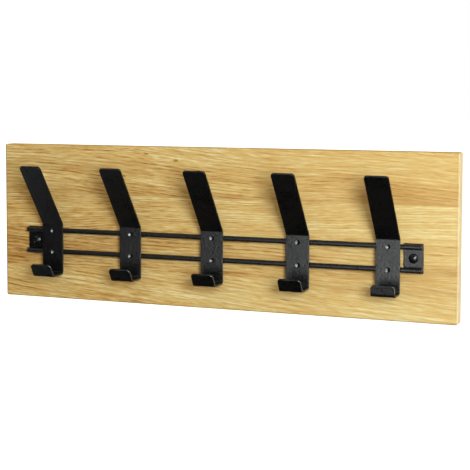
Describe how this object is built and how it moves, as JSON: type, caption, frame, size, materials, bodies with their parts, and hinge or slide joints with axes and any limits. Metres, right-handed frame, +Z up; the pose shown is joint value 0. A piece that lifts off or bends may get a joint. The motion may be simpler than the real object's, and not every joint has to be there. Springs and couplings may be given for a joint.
{
  "type": "wall hook rack",
  "caption": "Wall hook rack: oak panel with double hooks of bent black steel strip, each a long slanted prong over a short J, held on a two-rod rail.",
  "frame": {"origin": "middle of the panel's back face, in the plane that lies against the wall", "axes": "+X right along the panel as seen from the room, +Y into the wall, +Z up"},
  "size_m": [0.6, 0.0897, 0.2],
  "materials": {
    "oak": "light oiled oak, edge-glued staves with long horizontal grain",
    "hook_coat": "fine-textured matt black powder coat on steel strip",
    "rail_coat": "matt black powder coat on steel rod and plate",
    "screw_black": "black oxide, slightly glossy",
    "zinc": "bright zinc plate"
  },
  "bodies": {
    "root": {"panel_stave_1": "oak", "panel_stave_2": "oak", "panel_stave_3": "oak", "panel_stave_4": "oak", "rail_rod_lower": "rail_coat", "rail_rod_upper": "rail_coat", "rail_end_plate_left": "rail_coat", "rail_screw_left": "screw_black", "rail_end_plate_right": "rail_coat", "rail_screw_right": "screw_black", "hook_1": "hook_coat", "plug_weld_1_lower": "hook_coat", "plug_weld_1_upper": "hook_coat", "hook_2": "hook_coat", "plug_weld_2_lower": "hook_coat", "plug_weld_2_upper": "hook_coat", "hook_3": "hook_coat", "plug_weld_3_lower": "hook_coat", "plug_weld_3_upper": "hook_coat", "hook_4": "hook_coat", "plug_weld_4_lower": "hook_coat", "plug_weld_4_upper": "hook_coat", "hook_5": "hook_coat", "plug_weld_5_lower": "hook_coat", "plug_weld_5_upper": "hook_coat", "keyhole_hanger_left": "zinc", "hanger_screw_left_top": "zinc", "hanger_screw_left_bottom": "zinc", "keyhole_hanger_right": "zinc", "hanger_screw_right_top": "zinc", "hanger_screw_right_bottom": "zinc"}
  },
  "joints": []
}
